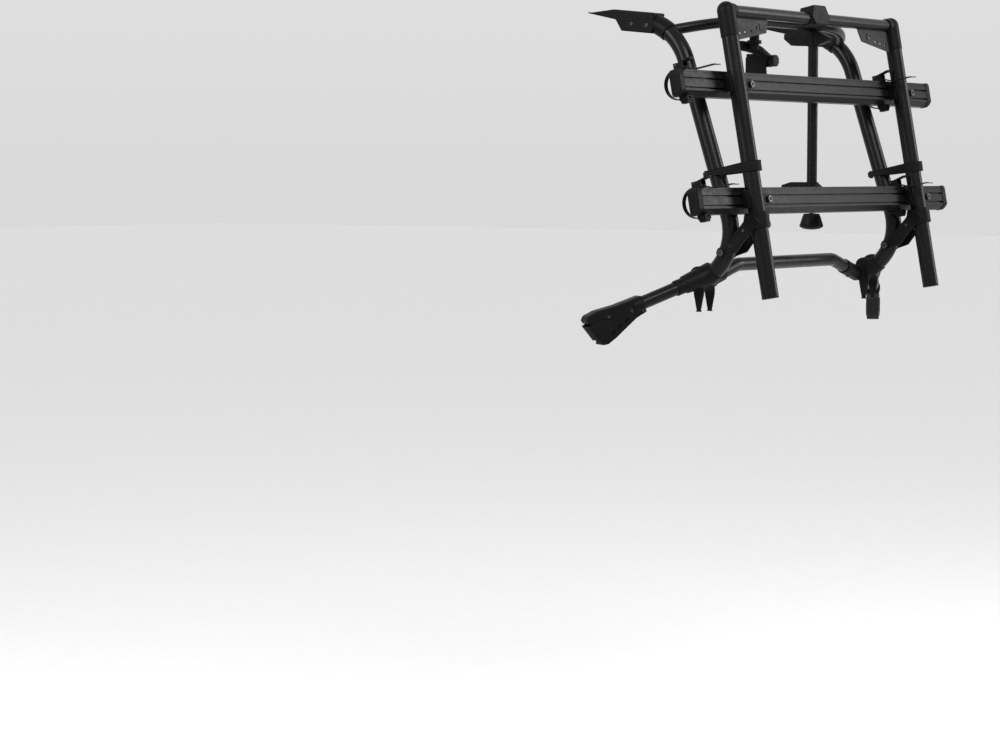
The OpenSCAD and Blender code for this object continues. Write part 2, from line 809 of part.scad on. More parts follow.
module gusset(s) {
  color(rail_grey) on_side(s) difference() {
    on_tube() translate([0, -hinge_offset, crossbar_h]) rotate([90, 0, 0])
      linear_extrude(gusset_t, center = true) difference() {
        polygon(gusset_shares * gusset_l);
        translate(gusset_hole_share * gusset_l) circle(r = gusset_hole_r);
        for (p = gusset_slot_shares) translate(p * gusset_l) square([gusset_slot_l, gusset_slot_w], center = true);
        translate(gusset_slit_share * gusset_l) square([gusset_slot_w, 2 * gusset_slot_l], center = true);
      }
    side_tube_bar(seat_gap);
    crossbar_bar(seat_gap);
    on_tube() translate([0, -hinge_offset, crossbar_h]) {
      translate([0, 0, -corner_length - seat_gap]) cylinder(h = corner_length, r = corner_r + seat_gap);
      rotate([0, 90, 0]) cylinder(h = corner_sleeve + seat_gap, r = corner_sleeve_r + seat_gap);
    }
  }
}

arm_outline = [for (p = arm_shares) p * hinge_offset];
ear_x = clamp_r + ear_l / 2;

module arm_cheek(t) {
  rotate([90, 0, 90]) linear_extrude(t) {
    polygon(arm_outline);
    circle(r = hinge_boss_r);
  }
}

module pivot_arm(s) {
  color(moulded) on_side(s) difference() {
    on_tube() difference() {
      union() {
        for (x = [-clamp_r, clamp_r - arm_plate_t]) translate([x, 0, 0]) arm_cheek(arm_plate_t);
        translate([0, -hinge_offset, clamp_low]) cylinder(h = clamp_high - clamp_low, r = clamp_r);
        translate([s < 0 ? 0 : -clamp_r - ear_l, -hinge_offset - ear_t / 2, clamp_low])
          cube([clamp_r + ear_l, ear_t, clamp_high - clamp_low]);
      }
      for (t = [-1, 1]) translate([t * clamp_r, arm_bolt[0], arm_bolt[1]]) rotate([pocket_turn, 0, 0])
        translate([-pocket_depth, 0, -pocket_r]) cube([2 * pocket_depth, pocket_length, 2 * pocket_r]);
      translate([0, arm_bolt[0], arm_bolt[1]]) rotate([0, 90, 0])
        cylinder(h = 3 * clamp_r, r = arm_bolt_r + seat_gap, center = true);
      rotate([0, 90, 0]) cylinder(h = 3 * clamp_r, r = hinge_bolt_r + run_gap, center = true);
      for (f = ear_shares)
        translate([s < 0 ? ear_x : -ear_x, -hinge_offset, clamp_low + (clamp_high - clamp_low) * f])
          rotate([90, 0, 0]) cylinder(h = 2 * ear_t, r = ear_screw_r + seat_gap, center = true);
    }
    side_tube_bar(seat_gap);
  }
}

module pivot_arm_bolts() {
  color(zinc) for (s = [-1, 1]) on_side(s) on_tube() {
    translate([0, arm_bolt[0], arm_bolt[1]]) rotate([0, 90, 0])
      cylinder(h = 2 * clamp_r + cut, r = arm_bolt_r, center = true);
    for (f = ear_shares) translate([s < 0 ? ear_x : -ear_x, -hinge_offset - ear_t / 2 - seat_gap,
      clamp_low + (clamp_high - clamp_low) * f]) rotate([90, 0, 0])
        cap_screw(ear_screw_head, ear_screw_head, ear_screw_r, ear_t + ear_screw_r);
  }
}

// Rail outline from its outer face, with a channel open toward the vehicle
function rail_outline(g) = [
  [-g, rail_h / 2 + g], [-g, -rail_h / 2 + rail_bevel], [rail_bevel - g, -rail_h / 2 - g],
  [rail_depth + g, -rail_h / 2 - g], [rail_depth + g, rail_h / 2 + g]
];

module rail(h) {
  metal = rail_length - 2 * end_cap_l;
  color(rail_grey) on_platform() translate([0, rail_face, h]) difference() {
    slab(metal, rail_outline(0));
    slab(metal + cut, [
      [rail_floor, rail_h / 2 - rail_wall], [rail_floor, -rail_h / 2 + rail_bevel],
      [rail_bevel + rail_wall / 2, -rail_h / 2 + rail_wall], [rail_depth + cut, -rail_h / 2 + rail_wall],
      [rail_depth + cut, rail_h / 2 - rail_wall]
    ]);
    for (f = slot_shares) translate([0, 0, f * rail_h]) {
      translate([0, slot_lip / 2, 0]) cube([metal + cut, slot_lip + cut, slot_mouth], center = true);
      translate([0, (slot_lip + slot_depth) / 2, 0])
        cube([metal + cut, slot_depth - slot_lip, slot_width], center = true);
    }
    translate([0, 0, rail_h / 2 - rail_wall - slot_width / 2])
      cube([metal + cut, slot_lip, slot_width / 2], center = true);
  }
}

module rail_end_caps() {
  grow = end_cap_grow;
  color(moulded) on_platform() for (h = rail_heights, s = [-1, 1]) on_side(s)
    translate([-rail_length / 2, rail_face, h]) difference() {
      rotate([90, 0, 90]) linear_extrude(end_cap_l - seat_gap) polygon(rail_outline(grow));
      rotate([0, 0, -45]) translate([-end_cap_l, -end_cap_l, 0])
        cube([end_cap_l + end_cap_bevel / 2, 2 * end_cap_l, 2 * rail_h], center = true);
      for (t = [-1, 1]) translate([0, 0, t * (rail_h / 2 + grow)]) rotate([0, t * 45, 0])
        cube([end_cap_bevel, 4 * rail_depth, end_cap_bevel], center = true);
    }
}

module rail_saddles() {
  color(moulded) for (s = [-1, 1]) on_side(s) difference() {
    on_tube() for (h = rail_heights) {
      translate([-tube_r, -hinge_offset, h - block_h / 2])
        cube([2 * tube_r, tube_r + saddle_gap - seat_gap, block_h]);
      translate([s < 0 ? 0 : -rail_bolt_x, -hinge_offset + tube_r - lobe_sink, h - lobe_r + bend_step])
        cube([rail_bolt_x, lobe_sink + saddle_gap - seat_gap, 2 * (lobe_r - bend_step)]);
      translate([s < 0 ? rail_bolt_x : -rail_bolt_x, rail_face - seat_gap - bend_step, h]) rotate([90, 0, 0])
        cylinder(h = lobe_sink + saddle_gap - seat_gap, r = lobe_r);
    }
    side_tube_bar(seat_gap);
    pivot_cut(s);
    on_tube() for (h = rail_heights) translate([s < 0 ? rail_bolt_x : -rail_bolt_x, 0, h]) rotate([90, 0, 0])
      cylinder(h = 2 * hinge_offset, r = ear_screw_r + seat_gap);
  }
}

// Room for the pivot arm's clamp in a rail saddle
module pivot_cut(s) {
  on_tube() translate([-2 * clamp_r, -hinge_offset - 2 * clamp_r, clamp_low - cut])
    cube([4 * clamp_r, 4 * clamp_r, clamp_high - clamp_low + 2 * cut]);
}

module rail_bolts() {
  color(zinc) for (s = [-1, 1], h = rail_heights) on_side(s) on_tube()
    translate([s < 0 ? rail_bolt_x : -rail_bolt_x, rail_face - lobe_sink - saddle_gap - 2 * seat_gap, h])
      rotate([90, 0, 0]) cap_screw(rail_bolt_r, rail_bolt_h, ear_screw_r, lobe_sink + saddle_gap - cut);
}

// Strap path: out of the anchor, round the mouth of the rail and back over its top
module strap_loop(w, r) {
  lap = bend_lap * 180 / (PI * r);
  translate([0, rail_depth, 0]) rotate([0, -90, 0]) rotate([0, 0, -lap]) rotate_extrude(angle = 180 + 2 * lap)
    translate([r, -w / 2]) square([strap_t, w]);
  for (t = [-1, 1]) translate([0, (rail_depth + loop_start) / 2, t * (r + strap_t / 2)])
    cube([w - 2 * bend_step, rail_depth - loop_start, strap_t - 2 * bend_step], center = true);
}

module wheel_straps() {
  r = rail_h / 2 + loop_gap;
  color(moulded) for (i = [0:3]) on_strap(i) {
    strap_loop(strap_w, r);
    translate([0, loop_start + strap_t, r + strap_t / 2]) rotate([-tail_angle, 0, 0])
      translate([0, -tail_length / 2, 0]) cube([strap_w, tail_length, strap_t - 4 * bend_step], center = true);
  }
}

module strap_anchors() {
  color(moulded) for (i = [0:3]) on_strap(i) difference() {
    translate([-anchor_w / 2, 0, -rail_h / 2 - anchor_h - seat_gap])
      cube([anchor_w, anchor_l, anchor_h]);
    translate([-strap_w / 2 - seat_gap, -cut, -rail_h / 2 - loop_gap - strap_t - 2 * seat_gap])
      cube([strap_w + 2 * seat_gap, anchor_l + 2 * cut, strap_t + 4 * seat_gap]);
    for (t = [-1, 0, 1]) translate([t * anchor_w / 3, anchor_l / 2, -rail_h / 2 - anchor_h])
      cube([tooth_w, anchor_l + cut, tooth_h], center = true);
  }
}

module buckle_bodies() {
  base = rail_h / 2 + seat_gap;
  color(moulded) for (i = [0:3]) on_strap(i) difference() {
    translate([-buckle_w / 2, 0, base]) cube([buckle_w, rail_depth, loop_gap + strap_t + buckle_h]);
    translate([-strap_w / 2 - seat_gap, -cut, base + loop_gap - strap_slack])
      cube([strap_w + 2 * seat_gap, rail_depth + 2 * cut, strap_t + 3 * strap_slack]);
    translate([-buckle_w / 2 + cheek_t, -cut, lever_z - buckle_h / 2])
      cube([buckle_w - 2 * cheek_t, rail_depth + 2 * cut, buckle_h]);
    translate([0, lever_y, lever_z]) rotate([0, 90, 0])
      cylinder(h = buckle_w + cut, r = lever_pin_r + seat_gap, center = true);
  }
}

// Frame of a buckle lever's pin, with +Y along the lever away from the vehicle
module on_lever(i) {
  on_strap(i) translate([0, lever_y, lever_z]) mirror([0, 1, 0]) children();
}

module lever_pins() {
  color(zinc) for (i = [0:3]) on_lever(i) rotate([0, 90, 0])
    cylinder(h = buckle_w - 2 * lever_pin_gap, r = lever_pin_r, center = true);
}

module buckle_lever(i) {
  w = buckle_w - 2 * cheek_t - 2 * side_gap;
  color(moulded) on_lever(i) difference() {
    union() {
      rotate([0, 90, 0]) cylinder(h = w, r = lever_boss_r, center = true);
      rotate([lever_angle, 0, 0]) slab(w - 4 * bend_step, [
        [lever_root, lever_back], [lever_l - lever_lip, lever_back], [lever_l - lever_lip / 2, -lever_t],
        [lever_l, -lever_t], [lever_l + lever_lip / 2, lever_t / 2], [lever_l - lever_t, lever_t + lever_back],
        [lever_root, lever_t + lever_back]
      ]);
    }
    rotate([0, 90, 0]) cylinder(h = buckle_w, r = lever_pin_r + run_gap, center = true);
  }
}

module long_arm_clamp() {
  color(moulded) translate(long_arm_at) difference() {
    union() {
      rotate([0, 90, 0]) cylinder(h = hub_l, r = hub_r, center = true);
      translate([0, 0, -neck_l]) cylinder(h = neck_l, r = neck_r);
      slab(wing_w, wing_shares * wing_l);
    }
    rotate([0, 90, 0]) cylinder(h = 2 * hub_l, r = upper_cross_d / 2 + run_gap, center = true);
    translate([0, 0, -neck_l - cut]) cylinder(h = neck_l - pole_start + cut, r = pole_r + seat_gap);
    translate(in_plane(wing_screw_share * wing_l, -wing_w / 2)) rotate([0, 90, 0])
      cylinder(h = screw_h, r = screw_r, center = true);
  }
}

module long_arm_pole() {
  color(black) translate(long_arm_at - [0, 0, pole_start + long_pole]) difference() {
    cylinder(h = long_pole - seat_gap, r = pole_r);
    translate([0, 0, -cut]) cylinder(h = long_pole + 2 * cut, r = pole_r - pole_wall);
  }
}

head_top = long_arm_at - [0, 0, pole_start + long_pole - head_h / 2];

// Fixed half of the long arm's claw, swivelling on the pole, with the stem that guides the jaw
module long_arm_head() {
  color(moulded) translate(head_top) difference() {
    union() {
      translate([0, 0, -head_h]) cylinder(h = head_h, r = neck_r);
      slab(jaw_w, head_shares * jaw_reach);
      translate([0, 0, -stem_l]) cylinder(h = stem_l - cut, r = stem_r);
    }
    translate([0, 0, -head_h / 2]) cylinder(h = head_h, r = pole_r + run_gap);
    translate([0, 0, -stem_l - cut]) cylinder(h = spindle_l + 2 * cut, r = spindle_r + run_gap);
  }
}

// Sliding half of the claw
module long_arm_jaw() {
  color(moulded) translate(head_top - [0, 0, jaw_gap]) difference() {
    union() {
      cylinder(h = jaw_t, r = neck_r);
      slab(jaw_w, jaw_shares * jaw_reach);
    }
    translate([0, 0, -cut]) cylinder(h = 3 * jaw_t, r = stem_r + run_gap);
  }
}

module turned_knob(r, neck, h, grip, n, spindle) {
  difference() {
    rotate_extrude() polygon([
      [0, 0], [neck, 0], for (p = knob_shares) [p[0] * r, -p[1] * h], [0, -h]
    ]);
    for (i = [0:n - 1]) rotate([0, 0, i * 360 / n]) translate([r + grip / 2, 0, -h - cut])
      cylinder(h = h + 2 * cut, r = grip);
  }
  translate([0, 0, -cut]) cylinder(h = spindle + cut, r = spindle_r);
}

module long_arm_knob() {
  color(moulded) translate(head_top - [0, 0, stem_l + knob_gap])
    turned_knob(knob_r, knob_neck_r, knob_h, flute_r, flutes, spindle_l - 2 * knob_gap);
}

short_dir = [cos(short_turn), -sin(short_turn) * cos(bow_fall), sin(short_turn) * sin(bow_fall)];
// Path of the arched bar under the short arm's pole, then the claw at its outer end
bar_points = [[-34, 62, -66], [-4, 32, -64], [34, 10, -74], [63, -2, -96]];
bar_bends = [60, 60];
claw_at = [63, 0, -96];
claw_w = 18;
claw_t = 11;
claw_rise = 2;
claw_back = 47;
claw_drop = 46;
claw_web = 5;
claw_root = 12;
claw_jaw_at = 17;
claw_jaw_t = 8;
claw_jaw_l = 31;
claw_spindle_drop = 7;
claw_spindle_l = 60;
claw_ring_r = 8.5;
groove_share = 0.4;

// Short arm: clamp on the cross tube, pole, and an arched bar that ends in a C-shaped claw
module short_arm_clamp() {
  color(moulded) translate(short_arm_at) difference() {
    union() {
      rod(short_dir * -short_hub_l / 2, short_dir * short_hub_l / 2, hub_r);
      translate([0, 0, -short_pole - short_foot])
        cylinder(h = short_pole + short_foot - hub_r / 2, r = short_pole_r);
      translate([0, 0, -short_pole]) cylinder(h = short_collar_h, r = short_collar_r);
      bent_bar(bar_points, bar_bends, short_bar_r);
      translate(claw_at - [claw_w / 2, claw_root, claw_drop / 2])
        cube([claw_w, claw_root + claw_t, claw_drop / 2 + claw_rise + cut]);
      translate(claw_at + [-claw_w / 2, 0, claw_rise]) cube([claw_w, claw_back + claw_t, claw_t]);
      translate(claw_at + [-claw_w / 2, claw_back, -claw_drop])
        cube([claw_w, claw_t, claw_drop + claw_rise + claw_t / 2]);
      translate(claw_at + [-claw_w / 2 - side_gap - claw_web, -claw_root / 2, -claw_drop + cut]) {
        cube([claw_web, claw_root / 2 + claw_back + claw_t - cut, claw_drop + claw_rise]);
        cube([claw_web + side_gap + cut, claw_root, claw_drop / 4]);
      }
      translate(claw_at + [-claw_w / 2 - side_gap - cut, claw_back + cut, -claw_drop + 2 * cut])
        cube([claw_w / 2, claw_t - 4 * cut, claw_drop]);
    }
    rod(short_dir * -short_hub_l, short_dir * short_hub_l, upper_cross_d / 2 + short_hub_gap);
    translate(claw_at - [0, 2 * short_bar_r, claw_spindle_drop]) rotate([-90, 0, 0])
      cylinder(h = 4 * short_bar_r, r = spindle_r + run_gap);
  }
}

module short_arm_jaw() {
  color(moulded) translate(short_arm_at + claw_at + [0, claw_jaw_at, 0]) difference() {
    union() {
      translate([-claw_w / 2, 0, -claw_drop]) cube([claw_w, claw_jaw_t, claw_jaw_l]);
      translate([0, 0, -claw_spindle_drop]) rotate([-90, 0, 0]) cylinder(h = claw_jaw_t, r = claw_ring_r);
    }
    translate([0, -cut, -claw_spindle_drop]) rotate([-90, 0, 0])
      cylinder(h = claw_jaw_t + 2 * cut, r = spindle_r + run_gap);
    translate([0, claw_jaw_t, -claw_drop + claw_jaw_l * groove_share]) rotate([0, 90, 0])
      cylinder(h = 2 * claw_w, r = claw_jaw_t / 2, center = true);
  }
}

module short_arm_knob() {
  color(moulded) translate(short_arm_at + claw_at - [0, short_bar_r + short_knob_gap, claw_spindle_drop])
    rotate([90, 0, 0]) turned_disc();
}

module turned_disc() {
  difference() {
    cylinder(h = small_knob_h, r = small_knob_r);
    for (i = [0:small_flutes - 1]) rotate([0, 0, i * 360 / small_flutes])
      translate([small_knob_r + small_flute_r / 2, 0, -cut]) cylinder(h = small_knob_h + 2 * cut, r = small_flute_r);
  }
  translate([0, 0, -claw_spindle_l]) cylinder(h = claw_spindle_l + cut, r = spindle_r);
}

upright(-1);  // left_upright
upright(1);  // right_upright
upper_cross_tube();
lower_cross_tube();
bracket_cover(-1);  // left_bracket_cover
bracket_cover(1);  // right_bracket_cover
roof_hook(-1);  // left_roof_hook
roof_hook(1);  // right_roof_hook
bracket_screws();
tube_clamp(-1);  // left_tube_clamp
tube_clamp(1);  // right_tube_clamp
sleeve(-1);  // left_sleeve
sleeve(1);  // right_sleeve
sleeve_screws();
foot_arm(-1);  // left_foot_arm
foot_arm(1);  // right_foot_arm
foot_housing(-1);  // left_foot_housing
foot_housing(1);  // right_foot_housing
foot_pad(-1);  // left_foot_pad
foot_pad(1);  // right_foot_pad
pad_pin_rod(-1);  // left_pad_pin
pad_pin_rod(1);  // right_pad_pin
hinge_bolts();
hold_strap(-1);  // left_hold_strap
hold_strap(1);  // right_hold_strap
hold_strap_knobs();
side_tube(-1);  // left_side_tube
side_tube(1);  // right_side_tube
tube_end_caps();
crossbar();
corner(-1);  // left_corner
corner(1);  // right_corner
crossbar_saddle();
gusset(-1);  // left_gusset
gusset(1);  // right_gusset
pivot_arm(-1);  // left_pivot_arm
pivot_arm(1);  // right_pivot_arm
pivot_arm_bolts();
rail(rail_heights[0]);  // lower_rail
rail(rail_heights[1]);  // upper_rail
rail_end_caps();
rail_saddles();
rail_bolts();
wheel_straps();
strap_anchors();
buckle_bodies();
lever_pins();
buckle_lever(0);  // lever_lower_left
buckle_lever(1);  // lever_lower_right
buckle_lever(2);  // lever_upper_left
buckle_lever(3);  // lever_upper_right
long_arm_clamp();
long_arm_pole();
long_arm_head();
long_arm_jaw();
long_arm_knob();
short_arm_clamp();
short_arm_jaw();
short_arm_knob();
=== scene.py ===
from math import acos, atan2, ceil, cos, pi, radians, sin, sqrt

import bmesh
import bpy
from mathutils import Matrix, Vector


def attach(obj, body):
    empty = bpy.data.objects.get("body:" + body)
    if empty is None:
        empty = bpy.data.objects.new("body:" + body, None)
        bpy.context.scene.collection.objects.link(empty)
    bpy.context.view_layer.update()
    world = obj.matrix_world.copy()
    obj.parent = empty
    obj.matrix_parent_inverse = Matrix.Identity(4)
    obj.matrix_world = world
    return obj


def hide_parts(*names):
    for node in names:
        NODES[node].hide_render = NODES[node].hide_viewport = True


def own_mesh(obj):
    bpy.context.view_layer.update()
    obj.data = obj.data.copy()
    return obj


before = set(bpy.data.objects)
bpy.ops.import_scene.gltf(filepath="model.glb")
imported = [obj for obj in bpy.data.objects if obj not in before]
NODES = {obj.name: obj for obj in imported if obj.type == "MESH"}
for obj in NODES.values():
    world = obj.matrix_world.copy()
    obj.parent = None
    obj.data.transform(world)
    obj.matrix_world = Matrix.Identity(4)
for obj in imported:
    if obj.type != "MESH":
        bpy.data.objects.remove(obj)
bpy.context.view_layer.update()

# Sizes repeated from the source, in metres and radians
TUBE_R = 0.022
HALF_SPACING = 0.432
PLATFORM_LEAN = radians(10.8)
HINGE = Vector((0.0, -0.33391, -0.606893))
HINGE_OFFSET = 0.108
CROSSBAR_H, CROSSBAR_R = 0.609, 0.016
UPPER_BEND_R, UPPER_BEND_AT = 0.158, (-0.055289, -0.163142)
BOW_R = 0.014
SADDLE_T = 0.004
RAIL_LENGTH, RAIL_H, RAIL_DEPTH = 1.32, 0.066, 0.028
RAIL_FACE = -HINGE_OFFSET + TUBE_R + SADDLE_T
RAIL_LEVELS = {"lower": 0.122, "upper": 0.423}
STRAP_W, STRAP_T, STRAP_GAP = 0.014, 0.003, 0.0035
STRAP_X = {"left": -0.622, "right": 0.392}
LEVER_AT, LEVER_ANGLE = (0.022, 0.04765), radians(13)
HOLD_AT, HOLD_TILT = (-0.301819, -0.402), radians(9)
HOLD_SPAN, HOLD_R = 0.104236, 0.023588
HOLD_PEG_X, HOLD_PEG_R = 0.032, 0.006
HOLD_W, HOLD_NARROW, HOLD_T = 0.026, 0.012, 0.003
FOOT_ORIGIN = Vector((-0.432, -0.276736, -0.665294))
FOOT_YAW, FOOT_PITCH = radians(28.2), radians(19.8)
FOOT_REACH, HOUSING_L, HOUSING_T = 0.206, 0.171, 0.036
PAD_PIN = Vector((0.7749, -0.1099)) * HOUSING_L
PAD_TOE = Vector((0.9942, 0.0175)) * HOUSING_L
PAD_HEEL = Vector((0.8947, -0.2573)) * HOUSING_L
LONG_ARM_AT, HEAD_DROP = Vector((0.112, -0.263529, -0.000268)), 0.427
JAW_GAP, JAW_W = 0.068, 0.028

MM = 0.001
FULL_TURN = 2 * pi
SIDES = (("left", -1), ("right", 1))
PLATFORM = Matrix.Translation(HINGE) @ Matrix.Rotation(-PLATFORM_LEAN, 4, "X")
MIRROR = Matrix.Diagonal((-1, 1, 1, 1))


# Materials: each noise's scale and detail, and the ranges that they are cut to

TINT_NOISE, GLOSS_NOISE, WEAR_NOISE, DUST_NOISE = (14.0, 4.0), (45.0, 3.0), (120.0, 4.0), (35.0, 5.0)
GRAIN_DETAIL, STREAK_DETAIL = 2.0, 3.0
NOISE_RANGE, WEAR_RANGE, DUST_RANGE = (0.3, 0.7), (0.5, 0.72), (0.4, 0.75)
CORNER_RANGE, FACING_UP = (0.54, 0.64), (0.3, 1.0)
DUST_COLOUR = (0.2, 0.19, 0.18)
EDGE_SAMPLES = 6


def material(name, base, rough, metal=0.0, spec=0.4, grain=900.0, grain_depth=0.05, rough_var=0.06,
             tint_var=0.15, edge=0.0, edge_tint=(0.1, 0.1, 0.1), edge_r=0.001, streak=None, dust=0.0):
    """A procedural finish: fine grain, uneven gloss and tint, rounded edges, worn corners and settled dust.

    The grain's depth is in millimetres and the radius of the rounded edges in metres.
    """
    finish = bpy.data.materials.new(name)
    finish.use_nodes = True
    nodes, link = finish.node_tree.nodes, finish.node_tree.links
    nodes.clear()
    out = nodes.new("ShaderNodeOutputMaterial")
    shader = nodes.new("ShaderNodeBsdfPrincipled")
    link.new(shader.outputs[0], out.inputs[0])
    shader.inputs["Metallic"].default_value = metal
    shader.inputs["Specular IOR Level"].default_value = spec
    coords = nodes.new("ShaderNodeTexCoord").outputs["Object"]
    geometry = nodes.new("ShaderNodeNewGeometry")

    def noise(scale, detail, vector=coords):
        node = nodes.new("ShaderNodeTexNoise")
        node.inputs["Scale"].default_value = scale
        node.inputs["Detail"].default_value = detail
        link.new(vector, node.inputs["Vector"])
        return node.outputs["Fac"]

    def mapped(value, source, target):
        node = nodes.new("ShaderNodeMapRange")
        for socket, limit in zip(node.inputs[1:5], (*source, *target)):
            socket.default_value = limit
        link.new(value, node.inputs[0])
        return node.outputs[0]

    def times(first, second):
        node = nodes.new("ShaderNodeMath")
        node.operation = "MULTIPLY"
        link.new(first, node.inputs[0])
        link.new(second, node.inputs[1])
        return node.outputs[0]

    def mixed(kind, factor, first, second):
        node = nodes.new("ShaderNodeMix")
        node.data_type, node.blend_type = "RGBA", kind
        colours = [socket for socket in node.inputs if socket.type == "RGBA"]
        for socket, value in zip((node.inputs["Factor"], *colours), (factor, first, second)):
            if isinstance(value, bpy.types.NodeSocket):
                link.new(value, socket)
            else:
                socket.default_value = value
        return next(socket for socket in node.outputs if socket.type == "RGBA")

    tint = mapped(noise(*TINT_NOISE), NOISE_RANGE, (1 - tint_var, 1 + tint_var))
    shade = mixed("MULTIPLY", 1.0, (*base, 1), tint)
    if edge > 0:
        corner = mapped(geometry.outputs["Pointiness"], CORNER_RANGE, (0.0, 1.0))
        wear = times(corner, mapped(noise(*WEAR_NOISE), WEAR_RANGE, (0.0, edge)))
        shade = mixed("MIX", wear, shade, (*edge_tint, 1))
    if dust > 0:
        facing = nodes.new("ShaderNodeSeparateXYZ")
        link.new(geometry.outputs["Normal"], facing.inputs[0])
        up = mapped(facing.outputs["Z"], FACING_UP, (0.0, 1.0))
        film = times(up, mapped(noise(*DUST_NOISE), DUST_RANGE, (0.0, dust)))
        shade = mixed("MIX", film, shade, (*DUST_COLOUR, 1))
    link.new(shade, shader.inputs["Base Color"])
    gloss = mapped(noise(*GLOSS_NOISE), NOISE_RANGE, (rough - rough_var, rough + rough_var))
    link.new(gloss, shader.inputs["Roughness"])

    bump = nodes.new("ShaderNodeBump")
    bump.inputs["Strength"].default_value = 1.0
    bump.inputs["Distance"].default_value = grain_depth * MM
    if streak:
        stretch = nodes.new("ShaderNodeMapping")
        stretch.inputs["Scale"].default_value = streak
        link.new(coords, stretch.inputs[0])
        height = noise(1.0, STREAK_DETAIL, stretch.outputs[0])
    else:
        height = noise(grain, GRAIN_DETAIL)
    link.new(height, bump.inputs["Height"])
    if edge_r > 0:
        rounded = nodes.new("ShaderNodeBevel")
        rounded.samples = EDGE_SAMPLES
        rounded.inputs["Radius"].default_value = edge_r
        link.new(rounded.outputs[0], bump.inputs["Normal"])
    link.new(bump.outputs[0], shader.inputs["Normal"])
    return finish


FINISH = {
    "tube": material("satin_powder_coat", (0.003, 0.003, 0.0033), 0.3, spec=0.13,
                     grain=1500, grain_depth=0.004, rough_var=0.04, tint_var=0.1,
                     edge=0.05, edge_tint=(0.04, 0.04, 0.04), edge_r=0.0008, dust=0.006),
    "moulded": material("moulded_plastic", (0.003, 0.003, 0.0033), 0.46, spec=0.075,
                        grain=1000, grain_depth=0.025,
                        edge=0.06, edge_tint=(0.03, 0.03, 0.03), edge_r=0.0018, dust=0.008),
    "rail": material("coated_extrusion", (0.0045, 0.0045, 0.0048), 0.34, spec=0.085,
                     grain_depth=0.02, rough_var=0.05, tint_var=0.1, streak=(1.5, 420.0, 420.0),
                     edge=0.1, edge_tint=(0.06, 0.06, 0.06), edge_r=0.0007),
    "sheet": material("coated_sheet_steel", (0.0045, 0.0045, 0.0048), 0.42, spec=0.1,
                      grain=1200, grain_depth=0.01, tint_var=0.1,
                      edge=0.1, edge_tint=(0.05, 0.05, 0.05), edge_r=0.0006),
    "screw": material("blackened_screw", (0.04, 0.04, 0.044), 0.34, metal=0.8,
                      grain=1500, grain_depth=0.02, rough_var=0.1,
                      edge=0.3, edge_tint=(0.2, 0.2, 0.2), edge_r=0.0006),
    "rubber": material("matte_rubber", (0.0035, 0.0035, 0.0038), 0.62, spec=0.08,
                       grain=1600, grain_depth=0.02, tint_var=0.2, dust=0.01),
    "strap": material("ladder_strap_plastic", (0.0036, 0.0036, 0.004), 0.42, spec=0.12,
                      grain=1300, grain_depth=0.01, tint_var=0.12, edge_r=0.0005),
    "weld": material("painted_weld", (0.0035, 0.0035, 0.0038), 0.4, spec=0.1,
                     grain=700, grain_depth=0.12, edge_r=0.0005),
    # Painted shade: a darker, dull finish standing in for the shadow inside recessed slots
    "shade": material("painted_recess_shade", (0.0012, 0.0012, 0.0012), 0.8, spec=0.02, edge_r=0),
}

# Nodes by finish; the rest are moulded
GROUPS = {
    "tube": ["left_upright", "right_upright", "upper_cross_tube", "lower_cross_tube", "left_foot_arm",
             "right_foot_arm", "left_side_tube", "right_side_tube", "crossbar", "long_arm_pole",
             "left_roof_hook", "right_roof_hook"],
    "rail": ["lower_rail", "upper_rail"],
    "sheet": ["left_gusset", "right_gusset"],
    "screw": ["bracket_screws", "sleeve_screws", "left_pad_pin", "right_pad_pin", "hinge_bolts",
              "pivot_arm_bolts", "rail_bolts", "lever_pins"],
    "rubber": ["left_hold_strap", "right_hold_strap", "hold_strap_knobs", "left_foot_pad",
               "right_foot_pad"],
}
finish_of = {node: key for key, group in GROUPS.items() for node in group}

for name, obj in NODES.items():
    obj.data.materials.clear()
    obj.data.materials.append(FINISH[finish_of.get(name, "moulded")])


# Moulded and cast pieces get the rounded corners and fillets of their moulds, from a remesh with cells of
# the first size and as many smoothing passes as the second number

SOFTEN = 0.5
ROUNDED = {
    "foot_housing": (0.0016, 12),
    "foot_pad": (0.0012, 2),
    "rail_end_caps": (0.0015, 18),
    "bracket_cover": (0.0015, 10),
    "crossbar_saddle": (0.0012, 6),
    "pivot_arm": (0.0014, 5),
    "sleeve": (0.0016, 5),
    "corner": (0.0014, 3),
}

for key, (cell, passes) in ROUNDED.items():
    for name in (key, "left_" + key, "right_" + key):
        if name in NODES:
            remesh = NODES[name].modifiers.new("skin", "REMESH")
            remesh.mode = "VOXEL"
            remesh.voxel_size = cell
            remesh.use_smooth_shade = True
            soften = NODES[name].modifiers.new("soften", "SMOOTH")
            soften.factor, soften.iterations = SOFTEN, passes


# Mesh helpers

SHARP_ANGLE = radians(35)
MITRE_LIMIT = 0.3
BOX_CORNER_SHARE, BOX_EDGE_SHARE = 0.35, 0.9
BOX_CORNER_STEPS = (0, 30, 60, 90)


